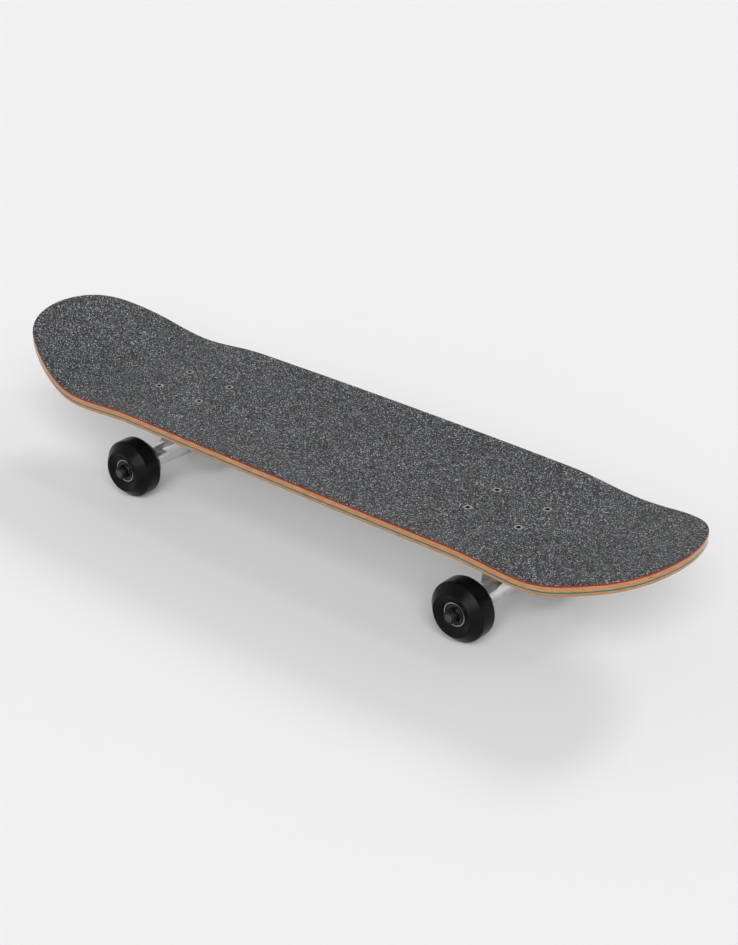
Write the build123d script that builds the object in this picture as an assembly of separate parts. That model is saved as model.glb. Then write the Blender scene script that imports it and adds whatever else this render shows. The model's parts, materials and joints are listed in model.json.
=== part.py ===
from build123d import *

import os
from math import acos, atan, atan2, cos, degrees, hypot, pi, radians, sin

# Skateboard: a seven-ply pressed deck, two trucks and four wheels on ball bearings.
# Frame, in millimetres: +X along the deck towards the tail, +Y to the rider's right, +Z up.
# The origin is on the floor, midway between the deck's two tips.

# Deck
DECK_LENGTH = 748.0
DECK_HALF_WIDTH = 91.8
WIDEST_X = 90.0
NOSE_HALF_WIDTH = 88.4
TAIL_HALF_WIDTH = 88.6
NOSE_CURVE_LENGTH = 120.0
TAIL_CURVE_LENGTH = 108.0
NOSE_RADII = (170.0, 62.0, 95.0)
TAIL_RADII = (150.0, 60.0, 100.0)
PLY_COUNT = 7
PLY_THICKNESS = 1.46
GRIP_THICKNESS = 0.9
GRIP_INSET = 1.5
OUTER_PLY_INSET = 0.5
NOSE_KICK_X = -254.0
NOSE_KICK_BEND = 40.0
NOSE_KICK_SLOPE = 0.38
TAIL_KICK_X = 270.0
TAIL_KICK_BEND = 36.0
TAIL_KICK_SLOPE = 0.27
RAIL_LIFT = 5.4
FLAT_HALF_WIDTH = 30.0
CONCAVE_FADE = 72.0
FADE_STEPS = 3
RAIL_ROWS = (30.0, 52.0, 74.0, 96.0)

# Wheels and bearings, measured outwards along the axle from the truck's middle plane
WHEEL_RADIUS = 28.0
WHEEL_MIDDLE = 73.3
WHEEL_HALF_WIDTH = 16.5
TREAD_HALF_WIDTH = 7.5
LIP_RADIUS = 19.5
CORE_RADIUS = 9.9
BEARING_RADIUS = 11.0
BEARING_WIDTH = 7.0
BEARING_BORE_RADIUS = 4.01
BEARING_GAP = 10.0
BALL_RADIUS = 1.9845
BALL_PITCH_RADIUS = 7.5
BALL_COUNT = 7
RACE_CLEARANCE = 0.045
OUTER_RACE_SHOULDER = 9.0
INNER_RACE_SHOULDER = 6.05
CAGE_HALF_WIDTH = 2.5
CAGE_HALF_THICKNESS = 0.8
SHIELD_INNER_RADIUS = 6.3
SHIELD_THICKNESS = 0.4
SHIELD_RECESS = 0.3
SPACER_RADIUS = 5.0
SPEED_RING_RADIUS = 6.0
SPEED_RING_THICKNESS = 1.0
AXLE_RADIUS = 4.0
AXLE_LENGTH = 187.0
AXLE_NUT_WIDTH = 12.7
AXLE_NUT_HEIGHT = 6.5

# Trucks, in each truck's own frame: +X outboard, origin on the floor under the axle
TRUCK_MIDDLE_X = 4.0
AXLE_X = 200.0
TRUCK_HEIGHT = 51.0
HANGER_HALF_WIDTH = 60.3
HANGER_END_RADIUS = 9.0
HANGER_MIDDLE_RADIUS = 12.0
WING_END_Y = 52.0
WING_ROOT_Y = 12.0
RING_X = -14.0
RING_Z = 42.0
RING_RADIUS = 16.0
RING_THICKNESS = 7.0
RING_BORE_RADIUS = 6.9
ROAD_POCKET_RADIUS = 13.8
KINGPIN_LEAN = 15.0
KINGPIN_RADIUS = 4.7
KINGPIN_BORE_RADIUS = 4.76
PIVOT_X = 19.0
PIVOT_Z = 66.0
PIVOT_PIN_RADIUS = 5.5
PIVOT_CLEARANCE = 0.05
PIVOT_CUP_WALL = 1.8
PIVOT_HOUSING_RADIUS = 10.5
BUSHING_RADIUS = 12.5
BOARD_BUSHING_HEIGHT = 12.0
ROAD_BUSHING_HEIGHT = 8.5
ROAD_BUSHING_RADIUS = 11.0
WASHER_THICKNESS = 1.5
KINGPIN_NUT_WIDTH = 14.3
KINGPIN_NUT_HEIGHT = 6.4
BASEPLATE_LENGTH = 82.0
BASEPLATE_WIDTH = 57.0
BASEPLATE_THICKNESS = 6.0
BASEPLATE_CORNER = 9.0

# Mounting hardware
BOLT_SPACING_X = 53.98
BOLT_SPACING_Y = 41.28
BOLT_PATTERN_X = -11.1
BOLT_RADIUS = 2.4
BOLT_HOLE_RADIUS = 2.75
BOLT_HEAD_RADIUS = 4.5
BOLT_LENGTH = 25.4
BOLT_HEAD_DROP = 0.1
BOLT_HEAD_CLEARANCE = 0.05
HEX_SOCKET_WIDTH = 3.2
HEX_SOCKET_DEPTH = 1.8
MOUNT_NUT_WIDTH = 9.5
MOUNT_NUT_HEIGHT = 5.5

DECK_BOTTOM_Z = WHEEL_RADIUS + TRUCK_HEIGHT
WOOD_TOP_Z = DECK_BOTTOM_Z + PLY_COUNT * PLY_THICKNESS
GRIP_TOP_Z = WOOD_TOP_Z + GRIP_THICKNESS
TIP_X = DECK_LENGTH / 2
PLATE_BOTTOM_Z = DECK_BOTTOM_Z - BASEPLATE_THICKNESS
BEARING_START = WHEEL_MIDDLE - BEARING_GAP / 2 - BEARING_WIDTH
BEARING_END = WHEEL_MIDDLE + BEARING_GAP / 2 + BEARING_WIDTH
PIVOT_ANGLE = degrees(atan2(PIVOT_Z - RING_Z, PIVOT_X - RING_X))
PIVOT_LENGTH = hypot(PIVOT_Z - RING_Z, PIVOT_X - RING_X)
SEAT_DISTANCE = RING_THICKNESS / 2 + BOARD_BUSHING_HEIGHT + WASHER_THICKNESS
ROAD_WASHER_DISTANCE = RING_THICKNESS / 2 + ROAD_BUSHING_HEIGHT
KINGPIN_NUT_DISTANCE = ROAD_WASHER_DISTANCE + WASHER_THICKNESS

TRUCKS = {
    "nose": Location((TRUCK_MIDDLE_X - AXLE_X, 0, 0), (0, 0, 180)),
    "tail": Location((TRUCK_MIDDLE_X + AXLE_X, 0, 0)),
}
SIDES = {"nose": {"left": 1, "right": -1}, "tail": {"left": -1, "right": 1}}

# Along the kingpin from the middle of the hanger's ring, upwards
KINGPIN_LINE = Plane(
    origin=(RING_X, 0, RING_Z),
    x_dir=(0, 1, 0),
    z_dir=(sin(radians(KINGPIN_LEAN)), 0, cos(radians(KINGPIN_LEAN))),
)
# Along the steering axis from the middle of the hanger's ring, towards the pivot
PIVOT_LINE = Plane(
    origin=(RING_X, 0, RING_Z),
    x_dir=(0, 1, 0),
    z_dir=(cos(radians(PIVOT_ANGLE)), 0, sin(radians(PIVOT_ANGLE))),
)


def save(shape, node):
    """Write one node's STEP file."""
    shape.label = node
    export_step(shape, f"parts/{node}.step")


def smooth_step(t):
    """0 up to t = 0 and 1 from t = 1, with a level start and end."""
    t = min(max(t, 0.0), 1.0)
    return t * t * (3.0 - 2.0 * t)


def disc(radius, height, start=0.0):
    """Cylinder on the Z axis from the start height upwards."""
    low = (Align.CENTER, Align.CENTER, Align.MIN)
    return Pos(0, 0, start) * Cylinder(radius, height, align=low)


def tube(outer, inner, height, start=0.0):
    """Disc with a round bore."""
    return disc(outer, height, start) - disc(inner, height, start)


def hexagon(width, height, start=0.0):
    """Hexagonal prism, measured across its flats."""
    corner_radius = width / 2 / cos(pi / 6)
    return Pos(0, 0, start) * extrude(RegularPolygon(corner_radius, 6), amount=height)


def nut(width, height, bore, start=0.0):
    """Lock nut: a hexagon with turned-down corners, and a round collar on top."""
    collar = height * 0.25
    corner_radius = width / 2 / cos(pi / 6)
    body = hexagon(width, height - collar, start)
    turned = chamfer(disc(corner_radius, height - collar, start).edges(), width * 0.07)
    crown = disc(width * 0.42, collar, start + height - collar)
    return (body & turned) + crown - disc(bore, height, start)


# ---------------------------------------------------------------- deck


def concave_rise(x, y):
    """Lift of the rails above the deck's level middle; it fades out before each kick."""
    fade = smooth_step((x - NOSE_KICK_X) / CONCAVE_FADE)
    fade *= smooth_step((TAIL_KICK_X - x) / CONCAVE_FADE)
    across = max(abs(y) - FLAT_HALF_WIDTH, 0.0) / (DECK_HALF_WIDTH - FLAT_HALF_WIDTH)
    return RAIL_LIFT * fade * across**2


def end_arcs(sign, half_width, length, radii, inset):
    """Half of one rounded end, as three tangent arcs: rail, corner and tip."""
    start_x = TIP_X - length
    rail_radius, corner_radius, tip_radius = [radius - inset for radius in radii]
    rail_centre = Vector(start_x, half_width - radii[0])
    tip_centre = Vector(TIP_X - radii[2], 0)
    between = rail_centre - tip_centre
    near = tip_radius - corner_radius
    far = rail_radius - corner_radius
    turn = acos((near**2 + between.length**2 - far**2) / (2 * near * between.length))
    heading = atan2(between.Y, between.X) + turn
    corner_centre = tip_centre + Vector(cos(heading), sin(heading)) * near
    rail_way = corner_centre - rail_centre
    rail_end = degrees(atan2(rail_way.Y, rail_way.X))
    tip_start = degrees(heading)
    arcs = [
        CenterArc(rail_centre, rail_radius, 90, rail_end - 90),
        CenterArc(corner_centre, corner_radius, rail_end, tip_start - rail_end),
        CenterArc(tip_centre, tip_radius, tip_start, -tip_start),
    ]
    return arcs if sign > 0 else [mirror(arc, Plane.YZ) for arc in arcs]


def outline(inset=0.0):
    """The deck's outline, drawn in by the inset."""
    nose = end_arcs(-1, NOSE_HALF_WIDTH, NOSE_CURVE_LENGTH, NOSE_RADII, inset)
    tail = end_arcs(1, TAIL_HALF_WIDTH, TAIL_CURVE_LENGTH, TAIL_RADII, inset)
    rail = ThreePointArc(
        (NOSE_CURVE_LENGTH - TIP_X, NOSE_HALF_WIDTH - inset),
        (WIDEST_X, DECK_HALF_WIDTH - inset),
        (TIP_X - TAIL_CURVE_LENGTH, TAIL_HALF_WIDTH - inset),
    )
    half = [*nose, rail, *tail]
    return make_face([*half, *[mirror(edge, Plane.XZ) for edge in half]])


def kick_slab(direction, start_x, bend, slope, bottom, thickness):
    """One kick's layer: a round bend and then a straight slope, wider than the deck."""
    angle = degrees(atan(slope))
    radius = bend / sin(radians(angle))
    curve = JernArc((start_x, bottom), (direction, 0), radius, direction * angle)
    slope_line = Line(curve @ 1, (curve @ 1) + (curve % 1) * NOSE_CURVE_LENGTH)
    lower = [curve, slope_line]
    upper = [Pos(0, thickness) * edge for edge in lower]
    ends = [Line(curve @ 0, upper[0] @ 0), Line(slope_line @ 1, upper[1] @ 1)]
    face = Plane.XZ * make_face([*lower, *upper, *ends])
    return extrude(face, amount=RAIL_ROWS[-1], both=True)


def middle_slab(bottom, thickness):
    """The layer between the kicks, whose rails lift, built of flat facets."""
    fade = [CONCAVE_FADE * i / FADE_STEPS for i in range(FADE_STEPS + 1)]
    columns = [NOSE_KICK_X + run for run in fade] + [TAIL_KICK_X - run for run in fade[::-1]]
    rows = [-y for y in RAIL_ROWS[::-1]] + list(RAIL_ROWS)
    last_column = len(columns) - 1
    last_row = len(rows) - 1

    def corner(i, j, height):
        return Vector(columns[i], rows[j], bottom + height + concave_rise(columns[i], rows[j]))

    def flat(*corners):
        return make_face(Polyline(*corners, close=True)).face()

    faces = []
    for height in (0.0, thickness):
        for i in range(last_column):
            for j in range(last_row):
                near_left = corner(i, j, height)
                near_right = corner(i + 1, j, height)
                far_right = corner(i + 1, j + 1, height)
                far_left = corner(i, j + 1, height)
                level = abs(near_left.Z + far_right.Z - near_right.Z - far_left.Z) < 1e-9
                if level:
                    faces.append(flat(near_left, near_right, far_right, far_left))
                else:
                    faces.append(flat(near_left, near_right, far_right))
                    faces.append(flat(near_left, far_right, far_left))
    for j in (0, last_row):
        for i in range(last_column):
            low = [corner(i, j, 0.0), corner(i + 1, j, 0.0)]
            faces.append(flat(*low, corner(i + 1, j, thickness), corner(i, j, thickness)))
    for i in (0, last_column):
        for j in range(last_row):
            low = [corner(i, j, 0.0), corner(i, j + 1, 0.0)]
            faces.append(flat(*low, corner(i, j + 1, thickness), corner(i, j, thickness)))
    return Solid(Shell(faces))


def sheet(start, thickness, inset=0.0):
    """A layer of the deck, from the start height upwards, with the deck's bends."""
    nose = kick_slab(-1, NOSE_KICK_X, NOSE_KICK_BEND, NOSE_KICK_SLOPE, start, thickness)
    tail = kick_slab(1, TAIL_KICK_X, TAIL_KICK_BEND, TAIL_KICK_SLOPE, start, thickness)
    prism = Pos(0, 0, start - 1.0) * extrude(outline(inset), amount=TRUCK_HEIGHT)
    return (middle_slab(start, thickness) + nose + tail) & prism


def bolt_places():
    """The eight mounting bolts' places on the deck."""
    places = []
    for location in TRUCKS.values():
        for sx in (-0.5, 0.5):
            for sy in (-0.5, 0.5):
                local = Pos(BOLT_PATTERN_X + sx * BOLT_SPACING_X, sy * BOLT_SPACING_Y, 0)
                place = (location * local).position
                places.append(Pos(place.X, place.Y, 0))
    return places


def bolt_clearance():
    """What the mounting bolts take out of the deck: shank holes and head cones."""
    top = GRIP_TOP_Z - BOLT_HEAD_DROP
    depth = BOLT_HEAD_RADIUS - BOLT_HOLE_RADIUS
    low = (Align.CENTER, Align.CENTER, Align.MAX)
    cone = Pos(0, 0, top) * Cone(BOLT_HOLE_RADIUS, BOLT_HEAD_RADIUS, depth, align=low)
    cutter = disc(BOLT_HOLE_RADIUS, TRUCK_HEIGHT, DECK_BOTTOM_Z - 1.0) + cone
    cutter += disc(BOLT_HEAD_RADIUS, 1.0, top)
    return [place * cutter for place in bolt_places()]


def mounting_bolt():
    """Countersunk bolt with a hexagon socket, on the Z axis."""
    top = GRIP_TOP_Z - BOLT_HEAD_DROP
    head_radius = BOLT_HEAD_RADIUS - BOLT_HEAD_CLEARANCE
    head_depth = head_radius - BOLT_RADIUS
    low = (Align.CENTER, Align.CENTER, Align.MAX)
    head_place = Pos(0, 0, top - BOLT_HEAD_CLEARANCE)
    head = head_place * Cone(BOLT_RADIUS, head_radius, head_depth, align=low)
    shank = disc(BOLT_RADIUS, BOLT_LENGTH - head_depth, top - BOLT_LENGTH)
    shank = chamfer(shank.edges().sort_by(Axis.Z)[0], 0.5)
    socket = hexagon(HEX_SOCKET_WIDTH, HEX_SOCKET_DEPTH, top - HEX_SOCKET_DEPTH)
    return head + shank - socket


def make_deck():
    """The seven plies, the grip tape and the mounting hardware."""
    cutters = bolt_clearance()
    for i in range(PLY_COUNT):
        inset = OUTER_PLY_INSET if i in (0, PLY_COUNT - 1) else 0.0
        ply = sheet(DECK_BOTTOM_Z + i * PLY_THICKNESS, PLY_THICKNESS, inset)
        save(ply - cutters, f"ply_{i + 1}")
    save(sheet(WOOD_TOP_Z, GRIP_THICKNESS, GRIP_INSET) - cutters, "grip_tape")
    places = bolt_places()
    save(Compound([place * mounting_bolt() for place in places]), "mounting_bolts")
    nut_shape = mirror(nut(MOUNT_NUT_WIDTH, MOUNT_NUT_HEIGHT, BOLT_RADIUS), Plane.XY)
    save(Compound([place * Pos(0, 0, PLATE_BOTTOM_Z) * nut_shape for place in places]), "mounting_nuts")


# ---------------------------------------------------------------- truck


def pivot_housing():
    """Block under the baseplate that holds the pivot cup."""
    length = 13.0
    start = PIVOT_LENGTH - 5.0
    barrel = PIVOT_LINE * disc(PIVOT_HOUSING_RADIUS, length, start)
    web_x = RING_X + (start + length / 2) * cos(radians(PIVOT_ANGLE))
    web_z = RING_Z + (start + length / 2) * sin(radians(PIVOT_ANGLE))
    low = (Align.CENTER, Align.CENTER, Align.MIN)
    web = Pos(web_x, 0, web_z) * Box(length, 2 * PIVOT_HOUSING_RADIUS - 2, TRUCK_HEIGHT, align=low)
    return barrel + web


def baseplate():
    """Plate with the kingpin boss, the pivot housing, two ribs and four bolt holes."""
    low = (Align.CENTER, Align.CENTER, Align.MIN)
    middle = Pos(BOLT_PATTERN_X, 0, PLATE_BOTTOM_Z)
    plate = middle * Box(BASEPLATE_LENGTH, BASEPLATE_WIDTH, BASEPLATE_THICKNESS, align=low)
    plate = fillet(plate.edges().filter_by(Axis.Z), BASEPLATE_CORNER)
    plate = fillet(plate.faces().sort_by(Axis.Z)[0].edges(), 2.0)
    boss = KINGPIN_LINE * disc(BUSHING_RADIUS + 1.0, 30.0, SEAT_DISTANCE)
    rib_height = 7.0
    ribs = [
        Pos(BOLT_PATTERN_X - 14.0, y, PLATE_BOTTOM_Z - rib_height / 2) * Box(34.0, 4.0, rib_height)
        for y in (-9.0, 9.0)
    ]
    below = Pos(0, 0, DECK_BOTTOM_Z) * Box(200, 200, 60, align=(Align.CENTER, Align.CENTER, Align.MAX))
    body = (plate + boss + pivot_housing() + ribs) & below
    bore = KINGPIN_LINE * disc(KINGPIN_BORE_RADIUS, 60.0, SEAT_DISTANCE - 1.0)
    recess = KINGPIN_LINE * hexagon(KINGPIN_NUT_WIDTH + 0.4, 20.0, kingpin_head_start())
    cup_hole = PIVOT_LINE * disc(pivot_cup_radius(), 20.0, PIVOT_LENGTH - 14.0)
    holes = []
    for sx in (-0.5, 0.5):
        for sy in (-0.5, 0.5):
            place = Pos(BOLT_PATTERN_X + sx * BOLT_SPACING_X, sy * BOLT_SPACING_Y, 0)
            holes.append(place * disc(BOLT_HOLE_RADIUS, 40.0, PLATE_BOTTOM_Z - 20.0))
    return body - [bore, recess, cup_hole, *holes]


def kingpin_head_start():
    """Distance along the kingpin of the underside of its head."""
    return (DECK_BOTTOM_Z - RING_Z) / cos(radians(KINGPIN_LEAN)) - 9.0


def pivot_cup_radius():
    """Outer radius of the pivot cup."""
    return PIVOT_PIN_RADIUS + PIVOT_CLEARANCE + PIVOT_CUP_WALL


def pivot_cup():
    """Plastic cup, closed at its far end, that the hanger's pivot turns in."""
    inner = PIVOT_PIN_RADIUS + PIVOT_CLEARANCE
    start = PIVOT_LENGTH - 5.0
    cup = disc(pivot_cup_radius(), 11.0, start)
    hollow = disc(inner, 5.0, start) + Pos(0, 0, start + 5.0) * Sphere(inner)
    return PIVOT_LINE * (cup - hollow)


def kingpin():
    """Bolt with a hexagon head that hangs through the baseplate, bushings and hanger."""
    head_start = kingpin_head_start()
    head = hexagon(KINGPIN_NUT_WIDTH, 5.5, head_start)
    end = KINGPIN_NUT_DISTANCE + KINGPIN_NUT_HEIGHT + 1.5
    shank = disc(KINGPIN_RADIUS, head_start + end, -end)
    shank = chamfer(shank.edges().sort_by(Axis.Z)[0], 0.8)
    return KINGPIN_LINE * (shank + head)


def kingpin_nut():
    """Lock nut under the road-side washer."""
    shape = mirror(nut(KINGPIN_NUT_WIDTH, KINGPIN_NUT_HEIGHT, KINGPIN_RADIUS), Plane.XY)
    return KINGPIN_LINE * Pos(0, 0, -KINGPIN_NUT_DISTANCE) * shape


def cup_washer(radius, start):
    """Dished washer with a rounded rim."""
    washer = tube(radius, KINGPIN_RADIUS + 0.1, WASHER_THICKNESS, start)
    rim = washer.edges().filter_by(lambda edge: edge.length > 2 * pi * (radius - 0.1))
    return KINGPIN_LINE * fillet(rim, 0.5)


def board_bushing():
    """Barrel-shaped bushing between the baseplate's seat and the hanger's ring."""
    start = RING_THICKNESS / 2
    shape = tube(BUSHING_RADIUS, KINGPIN_RADIUS + 0.3, BOARD_BUSHING_HEIGHT, start)
    rims = shape.edges().filter_by(lambda edge: edge.length > 2 * pi * (BUSHING_RADIUS - 0.1))
    return KINGPIN_LINE * fillet(rims, 2.5)


def road_bushing():
    """Cone-shaped bushing between the hanger's ring and the road-side washer."""
    low = (Align.CENTER, Align.CENTER, Align.MIN)
    cone = Cone(ROAD_BUSHING_RADIUS - 1.5, ROAD_BUSHING_RADIUS, ROAD_BUSHING_HEIGHT, align=low)
    start = -ROAD_WASHER_DISTANCE
    bore = disc(KINGPIN_RADIUS + 0.3, ROAD_BUSHING_HEIGHT, start)
    return KINGPIN_LINE * (Pos(0, 0, start) * cone - bore)


def wing_section(y):
    """Slice of the hanger's wings at a distance from its middle: five sloping sides."""
    run = abs(y)
    outboard_ridge = (16.5 - 0.235 * run, y, 51.4 - 0.46 * run)
    inboard_edge = (-33.3 + 0.66 * run, y, 50.3 - 0.3125 * run)
    inboard_foot = (-7.0 - 0.03 * run, y, 21.5)
    bottom = (0.0, y, 17.5 + 0.02 * run)
    outboard_foot = (6.8, y, 21.5)
    corners = [outboard_ridge, inboard_edge, inboard_foot, bottom, outboard_foot]
    return make_face(Polyline(*corners, close=True))


def hanger_beam():
    """Round beam along the axle, thicker in the middle."""
    low = (Align.CENTER, Align.CENTER, Align.MIN)
    cone = Cone(HANGER_MIDDLE_RADIUS, HANGER_END_RADIUS, HANGER_HALF_WIDTH, align=low)
    halves = [Pos(0, 0, WHEEL_RADIUS) * Rot(angle, 0, 0) * cone for angle in (-90, 90)]
    return halves[0] + halves[1]


def pivot_arm():
    """Arm from the beam up to the pivot pin, which lies on the steering axis."""
    elbow_distance = PIVOT_LENGTH - 8.5
    elbow_x = RING_X + elbow_distance * cos(radians(PIVOT_ANGLE))
    elbow_z = RING_Z + elbow_distance * sin(radians(PIVOT_ANGLE))
    root = (9.5, 0, 40.0)
    rise = Vector(elbow_x - root[0], 0, elbow_z - root[2])
    line = Plane(origin=root, x_dir=(0, 1, 0), z_dir=rise)
    low = (Align.CENTER, Align.CENTER, Align.MIN)
    arm = line * Cone(8.5, 6.2, rise.length, align=low)
    elbow = Pos(elbow_x, 0, elbow_z) * Sphere(6.2)
    pin = disc(PIVOT_PIN_RADIUS, 8.4, elbow_distance) + Pos(0, 0, PIVOT_LENGTH) * Sphere(PIVOT_PIN_RADIUS)
    return arm + elbow + PIVOT_LINE * pin


def hanger():
    """Cast hanger: beam, wings, kingpin ring and pivot arm."""
    stations = (-WING_END_Y, -WING_ROOT_Y, WING_ROOT_Y, WING_END_Y)
    wings = loft([wing_section(y) for y in stations], ruled=True)
    ring = KINGPIN_LINE * disc(RING_RADIUS, RING_THICKNESS, -RING_THICKNESS / 2)
    half = RING_THICKNESS / 2
    board_pocket = KINGPIN_LINE * disc(BUSHING_RADIUS + 1.2, 20.0, half)
    road_pocket = KINGPIN_LINE * disc(ROAD_POCKET_RADIUS, 30.0, -half - 30.0)
    ring_bore = KINGPIN_LINE * disc(RING_BORE_RADIUS, RING_THICKNESS + 2, -half - 1)
    body = wings + hanger_beam() + ring - board_pocket - road_pocket + pivot_arm() - ring_bore
    return body - axle()


def axle():
    """Steel axle through the hanger, with chamfered ends."""
    rod = chamfer(Cylinder(AXLE_RADIUS, AXLE_LENGTH).edges(), 0.6)
    return Pos(0, 0, WHEEL_RADIUS) * Rot(90, 0, 0) * rod


def axle_place(side):
    """Local frame of one end of the axle: +Z outwards from the truck's middle plane."""
    return Plane(origin=(0, 0, WHEEL_RADIUS), x_dir=(1, 0, 0), z_dir=(0, side, 0))


def make_truck(name, location):
    """One truck's nodes."""
    nuts = []
    rings = []
    nut_start = BEARING_END + SPEED_RING_THICKNESS
    for side in (-1, 1):
        place = axle_place(side)
        nuts.append(place * nut(AXLE_NUT_WIDTH, AXLE_NUT_HEIGHT, AXLE_RADIUS, nut_start))
        for start in (BEARING_START - SPEED_RING_THICKNESS, BEARING_END):
            rings.append(place * tube(SPEED_RING_RADIUS, AXLE_RADIUS, SPEED_RING_THICKNESS, start))
    parts = {
        "baseplate": baseplate(),
        "pivot_cup": pivot_cup(),
        "kingpin": kingpin(),
        "kingpin_nut": kingpin_nut(),
        "board_washer": cup_washer(BUSHING_RADIUS, SEAT_DISTANCE - WASHER_THICKNESS),
        "road_washer": cup_washer(ROAD_BUSHING_RADIUS - 0.5, -KINGPIN_NUT_DISTANCE),
        "board_bushing": board_bushing(),
        "road_bushing": road_bushing(),
        "hanger": hanger(),
        "axle": axle(),
        "axle_nuts": Compound(nuts),
        "speed_rings": Compound(rings),
    }
    for part_name, part in parts.items():
        save(location * part, f"{name}_{part_name}")


# ---------------------------------------------------------------- wheels


def tyre():
    """Urethane wheel, turned about Z, with a seat for a bearing in each side."""
    inner_lip = WHEEL_MIDDLE - WHEEL_HALF_WIDTH
    outer_lip = WHEEL_MIDDLE + WHEEL_HALF_WIDTH
    seat_in = BEARING_START + BEARING_WIDTH
    seat_out = BEARING_END - BEARING_WIDTH
    corners = [
        (CORE_RADIUS, seat_in),
        (BEARING_RADIUS, seat_in),
        (BEARING_RADIUS, BEARING_START),
        (BEARING_RADIUS + 1.6, BEARING_START - 0.6),
        (LIP_RADIUS, inner_lip),
        (WHEEL_RADIUS, WHEEL_MIDDLE - TREAD_HALF_WIDTH),
        (WHEEL_RADIUS, WHEEL_MIDDLE + TREAD_HALF_WIDTH),
        (LIP_RADIUS, outer_lip),
        (BEARING_RADIUS + 1.6, BEARING_END + 0.6),
        (BEARING_RADIUS, BEARING_END),
        (BEARING_RADIUS, seat_out),
        (CORE_RADIUS, seat_out),
    ]
    section = make_face(Polyline(*[(r, 0, z) for r, z in corners], close=True))
    shape = revolve(section, Axis.Z)
    lips = shape.edges().filter_by(lambda edge: abs(edge.length - 2 * pi * LIP_RADIUS) < 0.1)
    shape = fillet(lips, 1.5)
    treads = shape.edges().filter_by(lambda edge: abs(edge.length - 2 * pi * WHEEL_RADIUS) < 0.1)
    return fillet(treads, 6.0)


def bearing_starts():
    """Inner face of each of a wheel's two bearings."""
    return (BEARING_START, BEARING_END - BEARING_WIDTH)


def groove(radius):
    """Ring-shaped cutter for a ball track, in the middle of a bearing."""
    return Torus(BALL_PITCH_RADIUS, radius)


def outer_race():
    """Outer race of one bearing, centred on the origin."""
    ring = Cylinder(BEARING_RADIUS, BEARING_WIDTH) - Cylinder(OUTER_RACE_SHOULDER, BEARING_WIDTH)
    return ring - groove(BALL_RADIUS + RACE_CLEARANCE)


def inner_race():
    """Inner race of one bearing, centred on the origin."""
    ring = Cylinder(INNER_RACE_SHOULDER, BEARING_WIDTH) - Cylinder(BEARING_BORE_RADIUS, BEARING_WIDTH)
    return ring - groove(BALL_RADIUS + RACE_CLEARANCE)


def balls_and_cage():
    """Balls of one bearing and the cage that spaces them, centred on the origin."""
    outer = BALL_PITCH_RADIUS + CAGE_HALF_THICKNESS
    inner = BALL_PITCH_RADIUS - CAGE_HALF_THICKNESS
    cage = Cylinder(outer, 2 * CAGE_HALF_WIDTH) - Cylinder(inner, 2 * CAGE_HALF_WIDTH)
    balls = []
    for i in range(BALL_COUNT):
        place = Rot(0, 0, 360 / BALL_COUNT * i) * Pos(BALL_PITCH_RADIUS, 0, 0)
        balls.append(place * Sphere(BALL_RADIUS))
        cage -= place * Rot(0, 90, 0) * Cylinder(BALL_RADIUS + RACE_CLEARANCE, 2 * BALL_RADIUS)
    return [cage, *balls]


def shields():
    """The two thin shields of one bearing, centred on the origin."""
    start = BEARING_WIDTH / 2 - SHIELD_RECESS - SHIELD_THICKNESS
    ring = tube(OUTER_RACE_SHOULDER, SHIELD_INNER_RADIUS, SHIELD_THICKNESS, start)
    return [ring, mirror(ring, Plane.XY)]


def make_wheel(name, location, side):
    """One wheel's nodes."""
    place = axle_place(side)
    middles = [Pos(0, 0, start + BEARING_WIDTH / 2) for start in bearing_starts()]
    seat = BEARING_START + BEARING_WIDTH
    parts = {
        "tyre": tyre(),
        "outer_races": Compound([middle * outer_race() for middle in middles]),
        "inner_races": Compound([middle * inner_race() for middle in middles]),
        "balls_and_cages": Compound([middle * solid for middle in middles for solid in balls_and_cage()]),
        "shields": Compound([middle * solid for middle in middles for solid in shields()]),
        "bearing_spacer": tube(SPACER_RADIUS, AXLE_RADIUS + 0.05, BEARING_GAP, seat),
    }
    for part_name, part in parts.items():
        save(location * (place.location * part), f"{name}_{part_name}")


os.makedirs("parts", exist_ok=True)
make_deck()
for truck_name, truck_location in TRUCKS.items():
    make_truck(truck_name, truck_location)
    for side_name, side_sign in SIDES[truck_name].items():
        make_wheel(f"{truck_name}_{side_name}", truck_location, side_sign)
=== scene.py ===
import bpy
import json
from math import acos, atan2, cos, pi, radians, sin, sqrt, tan
from mathutils import Euler, Matrix, Vector


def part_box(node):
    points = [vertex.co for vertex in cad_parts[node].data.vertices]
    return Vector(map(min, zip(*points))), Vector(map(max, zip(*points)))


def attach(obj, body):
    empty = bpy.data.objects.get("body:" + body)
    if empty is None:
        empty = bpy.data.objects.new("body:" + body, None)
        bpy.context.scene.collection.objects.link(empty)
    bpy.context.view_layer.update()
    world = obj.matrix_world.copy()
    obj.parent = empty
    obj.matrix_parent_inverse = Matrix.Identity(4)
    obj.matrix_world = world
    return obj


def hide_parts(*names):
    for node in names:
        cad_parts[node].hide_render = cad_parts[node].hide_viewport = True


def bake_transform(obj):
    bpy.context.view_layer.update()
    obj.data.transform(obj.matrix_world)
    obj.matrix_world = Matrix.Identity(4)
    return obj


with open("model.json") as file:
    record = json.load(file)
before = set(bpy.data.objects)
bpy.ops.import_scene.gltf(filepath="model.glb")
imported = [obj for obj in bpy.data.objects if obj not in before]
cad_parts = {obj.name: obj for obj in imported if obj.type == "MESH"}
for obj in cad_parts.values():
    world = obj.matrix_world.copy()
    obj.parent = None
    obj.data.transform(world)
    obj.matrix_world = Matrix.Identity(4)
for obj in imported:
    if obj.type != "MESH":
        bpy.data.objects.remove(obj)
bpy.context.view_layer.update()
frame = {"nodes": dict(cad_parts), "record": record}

# ---------------------------------------------------------------- sizes, in metres

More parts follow.
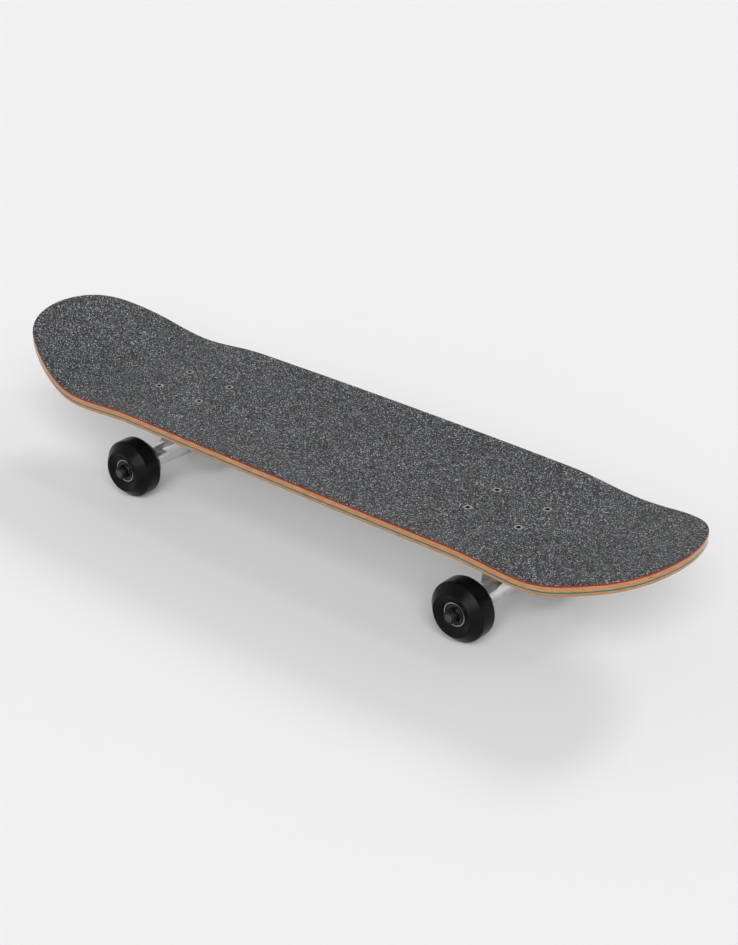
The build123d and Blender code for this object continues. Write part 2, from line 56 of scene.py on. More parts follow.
MM = 0.001
PLY_THICKNESS = 1.46 * MM
PLY_COUNT = 7
GRIP_THICKNESS = 0.9 * MM
GRIP_INSET = 0.35 * MM
BOTTOM_PLY_INSET = 0.95 * MM
SECOND_PLY_ROUND = 0.95 * MM
BOTTOM_ROUND = 1.4 * MM
TOP_ROUND = 0.35 * MM
DECK_BOTTOM = 79.0 * MM
GRIP_TOP = DECK_BOTTOM + PLY_COUNT * PLY_THICKNESS + GRIP_THICKNESS
TIP_X = 374.0 * MM
WIDEST = (90.0 * MM, 91.8 * MM)
NOSE_END = {"length": 120.0 * MM, "half_width": 88.4 * MM, "radii": (170 * MM, 62 * MM, 95 * MM)}
TAIL_END = {"length": 108.0 * MM, "half_width": 88.6 * MM, "radii": (150 * MM, 60 * MM, 100 * MM)}
NOSE_KICK = {"start": -254.0 * MM, "bend": 40.0 * MM, "slope": 0.38}
TAIL_KICK = {"start": 270.0 * MM, "bend": 36.0 * MM, "slope": 0.27}
RAIL_LIFT = 5.4 * MM
FLAT_HALF_WIDTH = 30.0 * MM
CONCAVE_FADE = 72.0 * MM

AXLE_Z = 28.0 * MM
WHEEL_MIDDLE = 73.3 * MM
RING_X = -14.0 * MM
RING_Z = 42.0 * MM
KINGPIN_LEAN = radians(15)
TRUCKS = {"tail": (204.0 * MM, 0.0), "nose": (-196.0 * MM, pi)}
SIDES = {"left": -1, "right": 1}
TRUCK_MIDDLE_X = (TRUCKS["tail"][0] + TRUCKS["nose"][0]) / 2
TRUCK_RUN = (TRUCKS["tail"][0] - TRUCKS["nose"][0]) / 2
BOLT_MIDDLE = -11.1 * MM
BOLT_SPACING = (53.98 * MM, 41.28 * MM)

HOLE_RADIUS = 4.25 * MM
THREAD_PITCH = 1.0 * MM
AXLE_THREAD_START = 86.5 * MM
ROUND_STEPS = 7
CAMERA_PLACE = (1.0627, -1.1954, 0.8918)
CAMERA_TARGET = (-0.0523, 0.1042, 0.0)
CAMERA_LENS_MM = 74.89

# ---------------------------------------------------------------- helpers


def deselect():
    bpy.ops.object.select_all(action="DESELECT")


def activate(piece):
    """Selects one piece alone and makes it active."""
    deselect()
    piece.select_set(True)
    bpy.context.view_layer.objects.active = piece


def edit(piece):
    """Opens a piece in edit mode."""
    activate(piece)
    bpy.ops.object.mode_set(mode="EDIT")


def leave_edit():
    bpy.ops.object.mode_set(mode="OBJECT")


def clear_picks(kind):
    """Sets the select mode with nothing selected, and leaves edit mode so that code can pick."""
    bpy.ops.mesh.select_mode(type=kind)
    bpy.ops.mesh.select_all(action="DESELECT")
    bpy.ops.object.mode_set(mode="OBJECT")


def pick_edges(piece, test):
    """Selects the edges whose two ends pass a test together."""
    clear_picks("EDGE")
    points = piece.data.vertices
    for edge in piece.data.edges:
        edge.select = test(points[edge.vertices[0]].co, points[edge.vertices[1]].co)
    bpy.ops.object.mode_set(mode="EDIT")


def pick_faces(piece, test):
    """Selects the faces that pass a test on their middle and normal."""
    clear_picks("FACE")
    for face in piece.data.polygons:
        face.select = test(face.center, face.normal)
    bpy.ops.object.mode_set(mode="EDIT")


def add_modifier(piece, kind, **settings):
    """Adds a modifier with its settings and applies it."""
    activate(piece)
    modifier = piece.modifiers.new(kind.lower(), kind)
    for key, value in settings.items():
        setattr(modifier, key, value)
    bpy.ops.object.modifier_apply(modifier=modifier.name)


def own_copy(source, name, matrix=None):
    """A copy with a mesh of its own, turned and moved inside its mesh."""
    piece = bpy.data.objects.new(name, source.data.copy())
    bpy.context.scene.collection.objects.link(piece)
    if matrix:
        piece.matrix_world = matrix
        apply_place(piece)
    return piece


def apply_place(piece):
    activate(piece)
    bpy.ops.object.transform_apply(location=True, rotation=True, scale=True)


def join(pieces, name):
    deselect()
    for piece in pieces:
        piece.select_set(True)
    bpy.context.view_layer.objects.active = pieces[0]
    bpy.ops.object.join()
    pieces[0].name = name
    return pieces[0]


def remove(piece):
    bpy.data.objects.remove(piece, do_unlink=True)


def smooth(piece, angle=30):
    activate(piece)
    bpy.ops.object.shade_smooth_by_angle(angle=radians(angle))


def finish_piece(piece, material, body, slot, *replaced):
    """Gives a piece its material and body, and hides the CAD nodes that it stands for. The slot argument is
    not used.
    """
    piece.data.materials.clear()
    piece.data.materials.append(MATERIALS[material])
    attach(piece, body)
    if replaced:
        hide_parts(*replaced)


def truck_place(truck):
    """Where a truck stands on the deck, with its axle side turned outwards."""
    x, turn = TRUCKS[truck]
    return Matrix.Translation((x, 0, 0)) @ Euler((0, 0, turn)).to_matrix().to_4x4()


def kingpin_place():
    """The middle of the hanger's ring, with +Z up along the kingpin."""
    return Matrix.Translation((RING_X, 0, RING_Z)) @ Matrix.Rotation(KINGPIN_LEAN, 4, "Y")


def start_point(name, place):
    """A mesh that is one point, ready to be extruded."""
    deselect()
    bpy.ops.mesh.primitive_plane_add(size=0.001, location=place)
    piece = bpy.context.active_object
    piece.name = name
    apply_place(piece)
    bpy.ops.object.mode_set(mode="EDIT")
    bpy.ops.mesh.select_mode(type="VERT")
    bpy.ops.mesh.select_all(action="SELECT")
    bpy.ops.mesh.merge(type="CENTER")
    return piece


def rounded(points, rounds):
    """The points of a profile with an arc in place of each corner that has a radius."""
    result = []
    for i, point in enumerate(points):
        corner = Vector(point)
        if i not in rounds:
            result.append(corner)
            continue
        back = (Vector(points[i - 1]) - corner).normalized()
        on = (Vector(points[(i + 1) % len(points)]) - corner).normalized()
        half = back.angle(on) / 2
        run = rounds[i] / tan(half)
        middle = corner + (back + on).normalized() * (rounds[i] / sin(half))
        first, last = corner + back * run - middle, corner + on * run - middle
        for step in range(ROUND_STEPS + 1):
            way = first.slerp(last, step / ROUND_STEPS).normalized()
            result.append(middle + way * rounds[i])
    return result


def draw_profile(name, points, rounds=None, closed=True):
    """A polyline of (radius, height) points in the XZ plane, with some corners rounded."""
    line = [Vector((point[0], 0, point[1])) for point in rounded(points, rounds or {})]
    piece = start_point(name, line[0])
    ring = line[1:] + ([line[0]] if closed else [])
    last = line[0]
    for place in ring:
        bpy.ops.mesh.extrude_region_move(TRANSFORM_OT_translate={"value": place - last})
        last = place
    bpy.ops.mesh.select_all(action="SELECT")
    bpy.ops.mesh.remove_doubles(threshold=1e-6)
    return piece


def lathe(name, points, rounds=None, closed=True, steps=96):
    """A round piece turned about Z."""
    piece = draw_profile(name, points, rounds, closed)
    bpy.ops.mesh.select_all(action="SELECT")
    bpy.ops.mesh.spin(steps=steps, angle=2 * pi, center=(0, 0, 0), axis=(0, 0, 1))
    bpy.ops.mesh.select_all(action="SELECT")
    bpy.ops.mesh.remove_doubles(threshold=1e-6)
    bpy.ops.mesh.normals_make_consistent(inside=False)
    leave_edit()
    smooth(piece, 35)
    return piece


# ---------------------------------------------------------------- materials


class Nodes:
    """Short names for adding and joining a material's nodes."""

    def __init__(self, name):
        self.material = bpy.data.materials.new(name)
        self.material.use_nodes = True
        self.tree = self.material.node_tree
        self.shader = self.tree.nodes["Principled BSDF"]
        coordinates = self.add("ShaderNodeTexCoord")
        self.place = coordinates.outputs["Object"]
        self.normal = coordinates.outputs["Normal"]

    def add(self, kind, **values):
        node = self.tree.nodes.new(kind)
        for key, value in values.items():
            if hasattr(node, key):
                setattr(node, key, value)
            else:
                node.inputs[key.replace("_", " ").title()].default_value = value
        return node

    def link(self, output, socket):
        self.tree.links.new(output, socket)

    def stretched(self, scale):
        mapping = self.add("ShaderNodeMapping")
        mapping.inputs["Scale"].default_value = scale
        self.link(self.place, mapping.inputs["Vector"])
        return mapping.outputs["Vector"]

    def noise(self, place, scale, detail=4.0, roughness=0.5):
        node = self.add("ShaderNodeTexNoise", scale=scale, detail=detail, roughness=roughness)
        self.link(place, node.inputs["Vector"])
        return node.outputs["Fac"]

    def ramp(self, factor, *stops):
        node = self.add("ShaderNodeValToRGB")
        band = node.color_ramp
        band.elements[0].position, band.elements[0].color = stops[0][0], (*stops[0][1], 1)
        band.elements[1].position, band.elements[1].color = stops[-1][0], (*stops[-1][1], 1)
        for position, colour in stops[1:-1]:
            band.elements.new(position).color = (*colour, 1)
        self.link(factor, node.inputs["Fac"])
        return node.outputs["Color"]

    def spread(self, factor, low, high, start=0.3, end=0.7):
        """Maps a factor's range to a range of plain numbers."""
        node = self.add("ShaderNodeMapRange")
        values = (("From Min", start), ("From Max", end), ("To Min", low), ("To Max", high))
        for socket, value in values:
            node.inputs[socket].default_value = value
        self.link(factor, node.inputs["Value"])
        return node.outputs["Result"]

    def math(self, operation, first, second):
        node = self.add("ShaderNodeMath", operation=operation)
        for socket, value in zip(node.inputs, (first, second)):
            if isinstance(value, (int, float)):
                socket.default_value = value
            else:
                self.link(value, socket)
        return node.outputs[0]

    def mix(self, factor, first, second):
        node = self.add("ShaderNodeMix", data_type="RGBA")
        self.link(factor, node.inputs["Factor"])
        self.link(first, node.inputs[6])
        self.link(second, node.inputs[7])
        return node.outputs[2]

    def part_of(self, vector, part):
        node = self.add("ShaderNodeSeparateXYZ")
        self.link(vector, node.inputs[0])
        return node.outputs[part]

    def bump(self, height, strength, distance, under=None):
        node = self.add("ShaderNodeBump", strength=strength, distance=distance)
        self.link(height, node.inputs["Height"])
        if under:
            self.link(under, node.inputs["Normal"])
        self.link(node.outputs["Normal"], self.shader.inputs["Normal"])
        return node.outputs["Normal"]

    def colour(self, output):
        self.link(output, self.shader.inputs["Base Color"])

    def rough(self, output):
        self.link(output, self.shader.inputs["Roughness"])

    def set(self, **values):
        for key, value in values.items():
            self.shader.inputs[key.replace("_", " ")].default_value = value


def wood(name, face, edge, underside=None):
    """Rotary-cut veneer: long grain on its face, darker sealed grain on its edge, and any paint."""
    n = Nodes(name)
    grain = n.noise(n.stretched((5.0, 80.0, 300.0)), 3.0, 8.0, 0.6)
    figure = n.noise(n.stretched((2.0, 9.0, 20.0)), 2.5, 3.0)
    mixed = n.math("ADD", n.math("MULTIPLY", grain, 0.6), n.math("MULTIPLY", figure, 0.4))
    fibres = n.noise(n.stretched((25.0, 25.0, 900.0)), 4.0, 6.0, 0.65)
    flat = n.ramp(mixed, (0.36, face[0]), (0.5, face[1]), (0.64, face[2]))
    side = n.ramp(fibres, (0.34, edge[0]), (0.5, edge[1]), (0.66, edge[2]))
    upright = n.math("ABSOLUTE", n.part_of(n.normal, "Z"), 0.0)
    shown = n.mix(n.spread(upright, 0.0, 1.0, 0.55, 0.9), side, flat)
    if underside:
        scuffs = n.noise(n.stretched((4.0, 30.0, 30.0)), 6.0, 8.0, 0.7)
        paint = n.ramp(scuffs, (0.3, underside[0]), (0.75, underside[1]))
        down = n.math("MULTIPLY", n.part_of(n.normal, "Z"), -1.0)
        shown = n.mix(n.spread(down, 0.0, 1.0, 0.72, 0.8), shown, paint)
    n.colour(shown)
    n.rough(n.spread(fibres, 0.28, 0.48))
    n.bump(mixed, 0.12, 0.0002)
    n.set(Coat_Weight=0.6, Coat_Roughness=0.07, Specular_IOR_Level=0.1)
    return n.material


def grip_material():
    """Abrasive grit: dark cells of uneven brightness, with bright crystals and clogged patches."""
    n = Nodes("grip_grit")
    cells = n.add("ShaderNodeTexVoronoi", scale=1200.0)
    n.link(n.place, cells.inputs["Vector"])
    parts = n.add("ShaderNodeSeparateColor")
    n.link(cells.outputs["Color"], parts.inputs[0])
    shade = n.ramp(
        parts.outputs[0],
        (0.0, (0.002, 0.002, 0.003)),
        (0.45, (0.013, 0.014, 0.015)),
        (0.75, (0.072, 0.075, 0.080)),
        (0.93, (0.23, 0.235, 0.245)),
        (1.0, (0.60, 0.61, 0.63)),
    )
    wear = n.noise(n.place, 14.0, 4.0)
    worn = n.ramp(wear, (0.3, (0.82, 0.82, 0.82)), (0.7, (1.0, 1.0, 1.0)))
    tint = n.add("ShaderNodeMix", data_type="RGBA", blend_type="MULTIPLY")
    tint.inputs[0].default_value = 1.0
    n.link(shade, tint.inputs[6])
    n.link(worn, tint.inputs[7])
    n.colour(tint.outputs[2])
    n.rough(n.spread(parts.outputs[1], 0.4, 0.85, 0.0, 0.3))
    n.bump(n.noise(n.place, 1300.0, 3.0, 0.7), 0.55, 0.0004)
    return n.material


def cast_metal():
    """Tumbled cast aluminium: fine pits, soft cloudy shine and scuffed high spots."""
    n = Nodes("cast_aluminium_skin")
    clouds = n.noise(n.place, 90.0, 6.0, 0.62)
    flow = n.noise(n.stretched((1.0, 0.25, 1.0)), 160.0, 4.0, 0.6)
    both = n.math("ADD", n.math("MULTIPLY", clouds, 0.55), n.math("MULTIPLY", flow, 0.45))
    n.colour(n.ramp(both, (0.32, (0.56, 0.56, 0.555)), (0.5, (0.72, 0.72, 0.715)), (0.7, (0.86, 0.86, 0.86))))
    n.rough(n.spread(both, 0.26, 0.42))
    n.bump(n.noise(n.place, 800.0, 6.0, 0.65), 0.3, 0.0003)
    n.set(Metallic=1.0)
    return n.material


def turned_metal(name, dark, light, rough, bump=0.1, thread=0.0):
    """Plated or oiled steel with faint tool marks, and a thread beyond a distance across."""
    n = Nodes(name)
    marks = n.noise(n.place, 700.0, 4.0, 0.6)
    n.colour(n.ramp(marks, (0.3, dark), (0.7, light)))
    n.rough(n.spread(marks, rough * 0.8, rough * 1.25))
    under = n.bump(marks, bump, 0.0001)
    if thread:
        across = n.math("ABSOLUTE", n.part_of(n.place, "Y"), 0.0)
        turns = n.math("SINE", n.math("MULTIPLY", across, 2 * pi / THREAD_PITCH), 0.0)
        on = n.spread(across, 0.0, 1.0, thread, thread + 0.5 * MM)
        n.bump(n.math("MULTIPLY", turns, on), 0.8, 0.0004, under)
    n.set(Metallic=1.0)
    return n.material


def bolt_metal():
    """Worn zinc on the bolt heads, with painted shade: near-black colour down in the sockets."""
    n = Nodes("bolt_plating")
    marks = n.noise(n.place, 700.0, 4.0, 0.6)
    plate = n.ramp(marks, (0.3, (0.20, 0.20, 0.195)), (0.7, (0.50, 0.495, 0.48)))
    # painted shade: from 0.3 to 0.5 mm below the head's top and deeper, the socket is coloured near black
    painted_socket_shade = n.ramp(marks, (0.3, (0.004, 0.004, 0.004)), (0.7, (0.012, 0.012, 0.011)))
    level = n.part_of(n.place, "Z")
    n.colour(n.mix(n.spread(level, 0.0, 1.0, GRIP_TOP - 0.5 * MM, GRIP_TOP - 0.3 * MM), painted_socket_shade, plate))
    n.rough(n.spread(marks, 0.26, 0.44))
    n.bump(marks, 0.15, 0.0001)
    n.set(Metallic=1.0)
    return n.material


def race_metal():
    """Ground bearing steel with a dark sealing lip inside its rim."""
    n = Nodes("race_ground")
    from_middle = n.math("SUBTRACT", n.part_of(n.place, "X"), TRUCK_MIDDLE_X)
    past_truck = n.math("SUBTRACT", n.math("ABSOLUTE", from_middle, 0.0), TRUCK_RUN)
    height = n.math("SUBTRACT", n.part_of(n.place, "Z"), AXLE_Z)
    square = n.math("ADD", n.math("POWER", past_truck, 2.0), n.math("POWER", height, 2.0))
    radius = n.math("SQRT", square, 0.0)
    marks = n.noise(n.place, 900.0, 4.0, 0.6)
    rim = n.ramp(marks, (0.3, (0.26, 0.25, 0.23)), (0.7, (0.42, 0.41, 0.38)))
    lip = n.ramp(marks, (0.3, (0.010, 0.010, 0.010)), (0.7, (0.018, 0.018, 0.017)))
    n.colour(n.mix(n.spread(radius, 0.0, 1.0, 9.9 * MM, 10.05 * MM), lip, rim))
    n.rough(n.spread(marks, 0.25, 0.4))
    n.bump(marks, 0.1, 0.0001)
    n.set(Metallic=1.0)
    return n.material


def urethane(name, dark, light, rough, gloss=0.35):
    """Cast urethane: satin, with a faint mottle, fine dust and soft scuffs."""
    n = Nodes(name)
    mottle = n.noise(n.place, 90.0, 6.0, 0.62)
    n.colour(n.ramp(mottle, (0.3, dark), (0.7, light)))
    n.rough(n.spread(mottle, rough * 0.85, rough * 1.2))
    n.bump(n.noise(n.place, 1200.0, 3.0, 0.5), 0.1, 0.0001)
    n.set(Specular_IOR_Level=gloss)
    return n.material


MAPLE_FACE = ((0.56, 0.44, 0.30), (0.68, 0.56, 0.41), (0.78, 0.67, 0.52))
MAPLE_EDGE = ((0.264, 0.104, 0.028), (0.409, 0.185, 0.06), (0.528, 0.311, 0.138))
UNDERSIDE_LACQUER = ((0.016, 0.014, 0.012), (0.034, 0.030, 0.024))
TEAL_FACE = ((0.02, 0.14, 0.16), (0.03, 0.22, 0.25), (0.07, 0.32, 0.34))
TEAL_EDGE = ((0.002, 0.05, 0.065), (0.004, 0.12, 0.15), (0.012, 0.22, 0.26))
RED_FACE = ((0.36, 0.03, 0.03), (0.50, 0.05, 0.045), (0.62, 0.10, 0.08))
RED_EDGE = ((0.10, 0.007, 0.007), (0.19, 0.014, 0.012), (0.30, 0.032, 0.024))
AXLE_DARK, AXLE_LIGHT = (0.07, 0.07, 0.07), (0.13, 0.13, 0.13)

MATERIALS = {
    "maple": wood("natural_maple", MAPLE_FACE, MAPLE_EDGE),
    "lacquered_maple": wood("lacquered_maple", MAPLE_FACE, MAPLE_EDGE, UNDERSIDE_LACQUER),
    "teal_veneer": wood("teal_maple", TEAL_FACE, TEAL_EDGE),
    "red_veneer": wood("red_maple", RED_FACE, RED_EDGE),
    "grip_tape": grip_material(),
    "bolt_steel": bolt_metal(),
    "nut_steel": turned_metal("nut_plating", (0.45, 0.45, 0.46), (0.65, 0.65, 0.66), 0.35),
    "cast_aluminium": cast_metal(),
    "cup_plastic": urethane("cup_nylon", (0.02, 0.02, 0.02), (0.04, 0.04, 0.04), 0.5),
    "kingpin_steel": turned_metal("kingpin_oxide", (0.05, 0.05, 0.052), (0.1, 0.1, 0.102), 0.4),
    "black_steel": turned_metal("nut_oxide", (0.022, 0.022, 0.023), (0.05, 0.05, 0.05), 0.38),
    "washer_steel": turned_metal("washer_zinc", (0.42, 0.42, 0.43), (0.6, 0.6, 0.61), 0.35),
    "bushing_urethane": urethane("bushing_cast", (0.014, 0.014, 0.015), (0.03, 0.03, 0.03), 0.4),
    "axle_steel": turned_metal("axle_oxide", AXLE_DARK, AXLE_LIGHT, 0.4, thread=AXLE_THREAD_START),
    "wheel_urethane": urethane("wheel_cast", (0.003, 0.003, 0.0028), (0.007, 0.007, 0.0065), 0.3, 0.08),
    "bearing_steel": race_metal(),
    "ball_steel": turned_metal("ball_polish", (0.6, 0.6, 0.61), (0.75, 0.75, 0.76), 0.12),
    "bearing_shield": urethane("shield_rubber", (0.008, 0.008, 0.008), (0.016, 0.016, 0.016), 0.4),
}
SLOTS = {entry["node"]: entry["material_slot"] for entry in frame["record"]["subparts"]}


def paint_cad_nodes():
    """Gives every carried-over CAD node its finish."""
    for node, piece in frame["nodes"].items():
        for material_slot in piece.material_slots:
            material_slot.material = MATERIALS[SLOTS[node]]


# ---------------------------------------------------------------- deck


def spin_points(centre, turn, steps):
    """Carries the selected point round an arc in the flat plane."""
    place = (centre[0], centre[1], 0)
    bpy.ops.mesh.spin(steps=steps, angle=turn, center=place, axis=(0, 0, 1))


def end_arcs(end, inset):
    """Centres, radii and headings of one end's rail, corner and tip arcs."""
    rail_radius, corner_radius, tip_radius = [radius - inset for radius in end["radii"]]
    rail = Vector((TIP_X - end["length"], end["half_width"] - end["radii"][0]))
    tip = Vector((TIP_X - end["radii"][2], 0.0))
    between = rail - tip
    near, far = tip_radius - corner_radius, rail_radius - corner_radius
    turn = acos((near**2 + between.length**2 - far**2) / (2 * near * between.length))
    heading = atan2(between.y, between.x) + turn
    corner = tip + Vector((cos(heading), sin(heading))) * near
    rail_end = atan2(corner.y - rail.y, corner.x - rail.x)
    return {"rail": rail, "corner": corner, "tip": tip, "rail_end": rail_end, "tip_start": heading}


def rail_circle(inset):
    """Centre and radius of the shallow arc through the rail's ends and its widest place."""
    ends = (NOSE_END["length"] - TIP_X, NOSE_END["half_width"] - inset)
    last = (TIP_X - TAIL_END["length"], TAIL_END["half_width"] - inset)
    (ax, ay), (bx, by), (cx, cy) = ends, (WIDEST[0], WIDEST[1] - inset), last
    d = 2 * (ax * (by - cy) + bx * (cy - ay) + cx * (ay - by))
    a2, b2, c2 = ax**2 + ay**2, bx**2 + by**2, cx**2 + cy**2
    x = (a2 * (by - cy) + b2 * (cy - ay) + c2 * (ay - by)) / d
    y = (a2 * (cx - bx) + b2 * (ax - cx) + c2 * (bx - ax)) / d
    turn = atan2(ay - y, ax - x) - atan2(cy - y, cx - x)
    return (x, y), turn


def flat_sheet(name, inset):
    """A flat sheet cut to the deck's outline, half drawn round its arcs and then mirrored."""
    nose, tail = end_arcs(NOSE_END, inset), end_arcs(TAIL_END, inset)
    piece = start_point(name, (inset - TIP_X, 0, 0))
    for corner in ("tip", "corner", "rail"):
        nose[corner] = (-nose[corner].x, nose[corner].y)
    spin_points(nose["tip"], nose["tip_start"], 20)
    spin_points(nose["corner"], nose["rail_end"] - nose["tip_start"], 12)
    spin_points(nose["rail"], pi / 2 - nose["rail_end"], 20)
    centre, turn = rail_circle(inset)
    spin_points(centre, turn, 70)
    spin_points(tail["rail"], pi / 2 - tail["rail_end"], 20)
    spin_points(tail["corner"], tail["rail_end"] - tail["tip_start"], 12)
    spin_points(tail["tip"], tail["tip_start"], 20)
    bpy.ops.mesh.select_all(action="SELECT")
    bpy.ops.mesh.extrude_region_move(TRANSFORM_OT_translate={"value": (0, 0, 0)})
    bpy.ops.transform.resize(value=(1, 0, 1), center_override=(0, 0, 0))
    pick_edges(piece, lambda a, b: abs(a.x - b.x) < 1e-7 and abs(a.y - b.y) > 1e-7)
    bpy.ops.mesh.subdivide(number_cuts=11)
    bpy.ops.mesh.select_all(action="SELECT")
    bpy.ops.mesh.remove_doubles(threshold=1e-5)
    leave_edit()
    add_modifier(piece, "MIRROR", use_axis=(False, True, False), merge_threshold=1e-5)
    return piece


def smooth_step(t):
    t = min(max(t, 0.0), 1.0)
    return t * t * (3.0 - 2.0 * t)


def kick_rise(run, kick):
    """Rise of a kick at a run past its start: a round bend and then a straight slope."""
    if run <= 0:
        return 0.0
    if run < kick["bend"]:
        return kick["slope"] * run * run / (2 * kick["bend"])
    return kick["slope"] * (run - kick["bend"] / 2)


def press_rise(x, y):
    """Height of the press mould above its level middle."""
    kicks = kick_rise(NOSE_KICK["start"] - x, NOSE_KICK) + kick_rise(x - TAIL_KICK["start"], TAIL_KICK)
    fade = smooth_step((x - NOSE_KICK["start"]) / CONCAVE_FADE)
    fade *= smooth_step((TAIL_KICK["start"] - x) / CONCAVE_FADE)
    across = max(abs(y) - FLAT_HALF_WIDTH, 0.0) / (WIDEST[1] - FLAT_HALF_WIDTH)
    return kicks + RAIL_LIFT * fade * across**2


def make_press():
    """The press mould: a lattice over the deck, raised at the kicks and rails."""
    columns, rows, depth = 64, 17, 40 * MM
    mould = bpy.data.lattices.new("press")
    mould.points_u, mould.points_v, mould.points_w = columns, rows, 2
    mould.interpolation_type_w = "KEY_LINEAR"
    press = bpy.data.objects.new("press", mould)
    bpy.context.scene.collection.objects.link(press)
    spacing = Vector((780 * MM / (columns - 1), 200 * MM / (rows - 1), depth))
    press.scale = spacing
    press.location = (0, 0, DECK_BOTTOM)
    for point in mould.points:
        rise = press_rise(point.co.x * spacing.x, point.co.y * spacing.y)
        point.co_deform.z = point.co.z + rise / depth
    bpy.context.view_layer.update()
    return press


def thick_layer(sheet, name, bottom, thickness):
    """A copy of a flat sheet at its height, with its thickness."""
    piece = own_copy(sheet, name, Matrix.Translation((0, 0, bottom)))
    edit(piece)
    bpy.ops.mesh.select_all(action="SELECT")
    bpy.ops.mesh.extrude_region_move(TRANSFORM_OT_translate={"value": (0, 0, thickness)})
    bpy.ops.mesh.select_all(action="SELECT")
    bpy.ops.mesh.normals_make_consistent(inside=False)
    leave_edit()
    return piece


def round_rim(piece, level, size, segments=4):
    """Rounds the rim of a flat layer on its face at one level."""
    edit(piece)
    clear_picks("EDGE")
    mesh = piece.data
    touching = {}
    for face in mesh.polygons:
        for key in face.edge_keys:
            touching.setdefault(key, []).append(abs(face.normal.z) > 0.5)
    for edge in mesh.edges:
        at_level = all(abs(mesh.vertices[i].co.z - level) < 1e-6 for i in edge.vertices)
        edge.select = at_level and sorted(touching[edge.key]) == [False, True]
    bpy.ops.object.mode_set(mode="EDIT")
    bpy.ops.mesh.bevel(offset=size, segments=segments, affect="EDGES", clamp_overlap=True)
    leave_edit()


def bolt_places():
    """The eight mounting bolts' places on the deck."""
    places = []
    for truck in TRUCKS:
        for sx in (-0.5, 0.5):
            for sy in (-0.5, 0.5):
                local = Vector((BOLT_MIDDLE + sx * BOLT_SPACING[0], sy * BOLT_SPACING[1], 0))
                places.append(truck_place(truck) @ local)
    return places


def bolt_hole_cutter(radius, name):
    """Eight plugs, one at each bolt, that cut the holes."""
    plugs = []
    for place in bolt_places():
        deselect()
        spot = (place.x, place.y, GRIP_TOP)
        bpy.ops.mesh.primitive_cylinder_add(vertices=32, radius=radius, depth=6 * MM, location=spot)
        plugs.append(bpy.context.active_object)
    cutter = join(plugs, name)
    apply_place(cutter)
    return cutter


def make_deck():
    """Seven plies with a rounded edge, and the grip tape cut round the bolt heads."""
    press = make_press()
    inner_pattern = flat_sheet("inner_pattern", 0.0)
    bottom_pattern = flat_sheet("bottom_pattern", BOTTOM_PLY_INSET)
    grip_pattern = flat_sheet("grip_pattern", GRIP_INSET)
    cutter = bolt_hole_cutter(HOLE_RADIUS, "bolt_holes")
    for i in range(PLY_COUNT):
        node = f"ply_{i + 1}"
        bottom = DECK_BOTTOM + i * PLY_THICKNESS
        pattern = bottom_pattern if i == 0 else inner_pattern
        piece = thick_layer(pattern, f"deck_{node}", bottom, PLY_THICKNESS)
        if i == 0:
            round_rim(piece, bottom, BOTTOM_ROUND)
        if i == 1:
            round_rim(piece, bottom, SECOND_PLY_ROUND, 2)
        if i == PLY_COUNT - 1:
            round_rim(piece, bottom + PLY_THICKNESS, TOP_ROUND, 2)
            add_modifier(piece, "BOOLEAN", operation="DIFFERENCE", object=cutter)
        add_modifier(piece, "LATTICE", object=press)
        smooth(piece, 35)
        finish_piece(piece, "lacquered_maple" if i == 0 else SLOTS[node], "deck", SLOTS[node], node)
    bottom = GRIP_TOP - GRIP_THICKNESS
    grip = thick_layer(grip_pattern, "grip_sheet", bottom, GRIP_THICKNESS)
    round_rim(grip, GRIP_TOP, 0.25 * MM, 2)
    add_modifier(grip, "BOOLEAN", operation="DIFFERENCE", object=cutter)
    add_modifier(grip, "LATTICE", object=press)
    smooth(grip, 35)
    finish_piece(grip, "grip_tape", "deck", "grip_tape", "grip_tape")
    for helper in (inner_pattern, bottom_pattern, grip_pattern, cutter, press):
        remove(helper)


# ---------------------------------------------------------------- fasteners


def hex_recess(piece, flats, top, depth):
    """Sinks a hexagon socket into the flat middle of a round head."""
    deselect()
    corner = flats / sqrt(3)
    middle = (0, 0, top)
    bpy.ops.mesh.primitive_cylinder_add(vertices=6, radius=corner, depth=2 * depth, location=middle)
    tool = bpy.context.active_object
    apply_place(tool)
    add_modifier(piece, "BOOLEAN", operation="DIFFERENCE", object=tool)
    remove(tool)


def make_bolts():
    """Countersunk socket bolts, flush with the grip tape."""
    top = GRIP_TOP - 0.05 * MM
    foot = top - 25.3 * MM
    head, shank = 4.1 * MM, 2.4 * MM
    socket_flats, socket_depth = 4.0 * MM, 2.2 * MM
    points = [
        (0, top),
        (head, top),
        (head, top - 0.5 * MM),
        (shank, top - 2.6 * MM),
        (shank, foot),
        (0, foot),
    ]
    model = lathe("bolt_model", points, {1: 0.25 * MM, 4: 0.4 * MM}, closed=False, steps=40)
    hex_recess(model, socket_flats, top, socket_depth)
    smooth(model, 35)
    bolts = [own_copy(model, f"bolt_{i}", Matrix.Translation(p)) for i, p in enumerate(bolt_places())]
    remove(model)
    finish_piece(join(bolts, "mounting_bolt_set"), "bolt_steel", "deck", "bolt_steel", "mounting_bolts")


